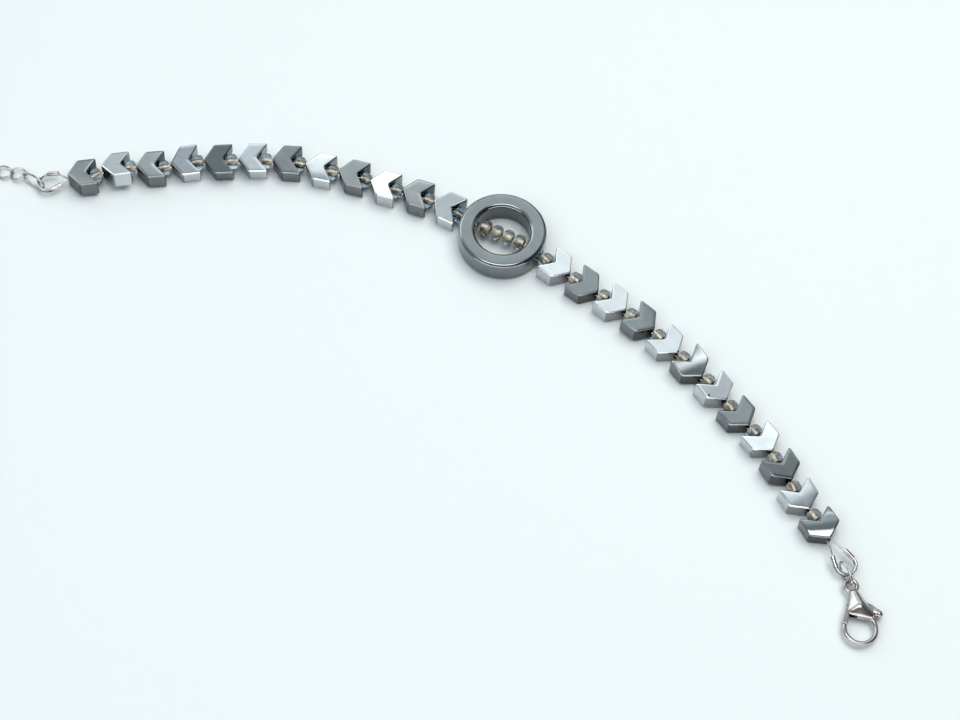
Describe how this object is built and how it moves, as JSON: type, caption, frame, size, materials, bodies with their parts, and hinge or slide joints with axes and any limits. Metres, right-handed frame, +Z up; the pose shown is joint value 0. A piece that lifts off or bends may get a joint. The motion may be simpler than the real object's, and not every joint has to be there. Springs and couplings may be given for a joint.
{
  "type": "hematite bracelet",
  "caption": "Undone bracelet of dark and silvery hematite chevron beads on both sides of a hematite ring, with small glass beads, lobster clasp and extension chain.",
  "frame": {"origin": "on the table, under the middle of the box round the whole bracelet as it lies", "axes": "+X to the right along the strand towards the clasp, +Y away from the viewer, +Z up from the table"},
  "size_m": [0.1761, 0.087, 0.0044],
  "materials": {
    "dark_hematite": "polished",
    "silver_hematite": "polished, silver-plated",
    "lined_glass": "clear with a silver-lined hole",
    "silver_plate": "bright silver plate",
    "clasp_steel": "polished"
  },
  "bodies": {
    "bracelet": {"ring": "dark_hematite", "spacers_left": "lined_glass", "spacers_ring": "lined_glass", "spacers_right": "lined_glass", "beading_wire": "silver_plate", "chevron_left_1": "silver_hematite", "chevron_left_2": "dark_hematite", "chevron_left_3": "silver_hematite", "chevron_left_4": "dark_hematite", "chevron_left_5": "silver_hematite", "chevron_left_6": "dark_hematite", "chevron_left_7": "silver_hematite", "chevron_left_8": "dark_hematite", "chevron_left_9": "silver_hematite", "chevron_left_10": "dark_hematite", "chevron_left_11": "silver_hematite", "chevron_left_12": "dark_hematite", "chevron_right_1": "silver_hematite", "chevron_right_2": "dark_hematite", "chevron_right_3": "silver_hematite", "chevron_right_4": "dark_hematite", "chevron_right_5": "silver_hematite", "chevron_right_6": "dark_hematite", "chevron_right_7": "silver_hematite", "chevron_right_8": "dark_hematite", "chevron_right_9": "silver_hematite", "chevron_right_10": "dark_hematite", "chevron_right_11": "silver_hematite", "chevron_right_12": "dark_hematite", "wire_guard_left": "silver_plate", "wire_guard_right": "silver_plate", "connector_left": "silver_plate", "connector_right": "silver_plate", "chain_link_1": "silver_plate", "chain_link_2": "silver_plate", "chain_link_3": "silver_plate", "chain_link_4": "silver_plate", "chain_link_5": "silver_plate", "chain_link_6": "silver_plate", "chain_link_7": "silver_plate", "chain_link_8": "silver_plate", "clasp_body": "clasp_steel", "clasp_pin": "clasp_steel"},
    "lever": {"clasp_lever": "clasp_steel"}
  },
  "joints": [
    {"name": "clasp_lever_hinge", "type": "hinge", "parent": "bracelet", "child": "lever", "pos_m": [0.0834, -0.0355, 0.00118], "axis": [0, 0, 1], "range_deg": [0, 25], "stiffness_Nm_per_rad": 0.01, "springref_deg": -17.19}
  ]
}
